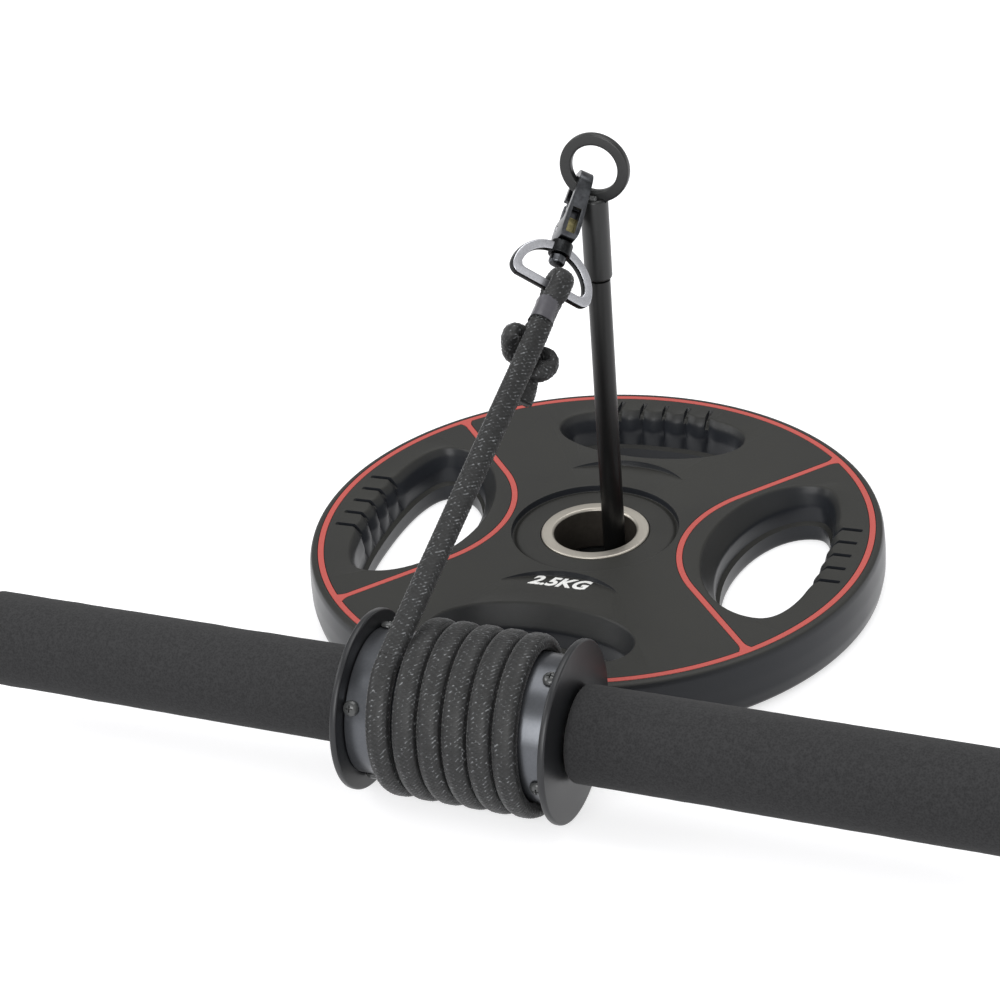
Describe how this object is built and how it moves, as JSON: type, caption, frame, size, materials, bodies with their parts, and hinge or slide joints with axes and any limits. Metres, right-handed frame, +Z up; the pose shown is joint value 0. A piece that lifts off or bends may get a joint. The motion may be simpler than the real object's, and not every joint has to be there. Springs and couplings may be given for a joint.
{
  "type": "wrist trainer",
  "caption": "Wrist trainer: a foam-gripped roller winds a rope on a flanged drum, and a swivel snap hook clips it to a loading pin that carries a grip plate.",
  "frame": {"origin": "centre of the underside of the loading pin's base disc, on the floor", "axes": "+Z up along the loading pin, +X along the roller's bar, and the roller lies at -Y of the plate"},
  "size_m": [0.369, 0.2786, 0.1811],
  "materials": {
    "powder_coated_steel": "satin black powder coat",
    "machined_steel": "satin",
    "plate_rubber": "matte, moulded",
    "cast_iron": "as cast",
    "red_trim": "satin",
    "satin_black_metal": "satin",
    "foam": "matte, fine-celled",
    "black_plastic": "matte",
    "black_braid": "braided",
    "shrink_sleeve": "satin",
    "satin_nickel": "satin",
    "black_nickel": "dark, polished",
    "spring_brass": "bright"
  },
  "bodies": {
    "loading_pin": {"base_disc": "powder_coated_steel", "base_weld": "powder_coated_steel", "pin_rod": "powder_coated_steel", "pin_sleeve": "powder_coated_steel", "eye_ring": "powder_coated_steel", "eye_weld_front": "powder_coated_steel", "eye_weld_rear": "powder_coated_steel"},
    "weight_plate": {"rubber_coat": "plate_rubber", "iron_core": "cast_iron", "hub_bush": "machined_steel", "red_trim": "red_trim"},
    "swivel_eye": {"d_ring": "satin_nickel"},
    "snap_hook": {"hook_body": "black_nickel", "swivel_rivet": "black_nickel", "gate_pin": "satin_nickel", "gate_spring": "spring_brass"},
    "gate": {"snap_gate": "black_nickel"},
    "rope": {"rope_run": "black_braid", "ferrule": "shrink_sleeve", "rope_knot": "black_braid"},
    "roller": {"bar_tube": "powder_coated_steel", "end_plug_left": "black_plastic", "end_plug_right": "black_plastic", "foam_grip_left": "foam", "foam_grip_right": "foam", "drum_shell": "satin_black_metal", "flange_left": "satin_black_metal", "flange_right": "satin_black_metal", "rope_winding": "black_braid", "drum_screw_left_1": "powder_coated_steel", "drum_screw_left_2": "powder_coated_steel", "drum_screw_left_3": "powder_coated_steel", "drum_screw_left_4": "powder_coated_steel", "drum_screw_right_1": "powder_coated_steel", "drum_screw_right_2": "powder_coated_steel", "drum_screw_right_3": "powder_coated_steel", "drum_screw_right_4": "powder_coated_steel"}
  },
  "joints": [
    {"name": "plate_lift", "type": "slide", "parent": "loading_pin", "child": "weight_plate", "axis": [0, 0, 1], "range_m": [0, 0.05]},
    {"name": "hook_swing", "type": "hinge", "parent": "loading_pin", "child": "swivel_eye", "pos_m": [-0.00521, 0, 0.15959], "axis": [-0.769, -0.0391, 0.6381], "range_deg": [0, 45]},
    {"name": "hook_swivel", "type": "hinge", "parent": "swivel_eye", "child": "snap_hook", "pos_m": [-0.00521, 0, 0.15959], "axis": [-0.0126, -0.8308, -0.5564], "range_deg": [-10, 0]},
    {"name": "gate_hinge", "type": "hinge", "parent": "snap_hook", "child": "gate", "pos_m": [-0.00642, -0.01368, 0.14877], "axis": [0.8137, 0.3149, -0.4886], "range_deg": [0, 20], "stiffness_Nm_per_rad": 0.02},
    {"name": "rope_pivot", "type": "hinge", "parent": "swivel_eye", "child": "rope", "pos_m": [-0.00572, -0.0334, 0.13722], "axis": [-0.6819, -0.3998, 0.6124], "range_deg": [0, 35]},
    {"name": "roller_spin", "type": "hinge", "parent": "rope", "child": "roller", "pos_m": [0, -0.14205, 0.031], "axis": [1, 0, 0], "continuous": true, "deforming": ["rope_run"]}
  ]
}
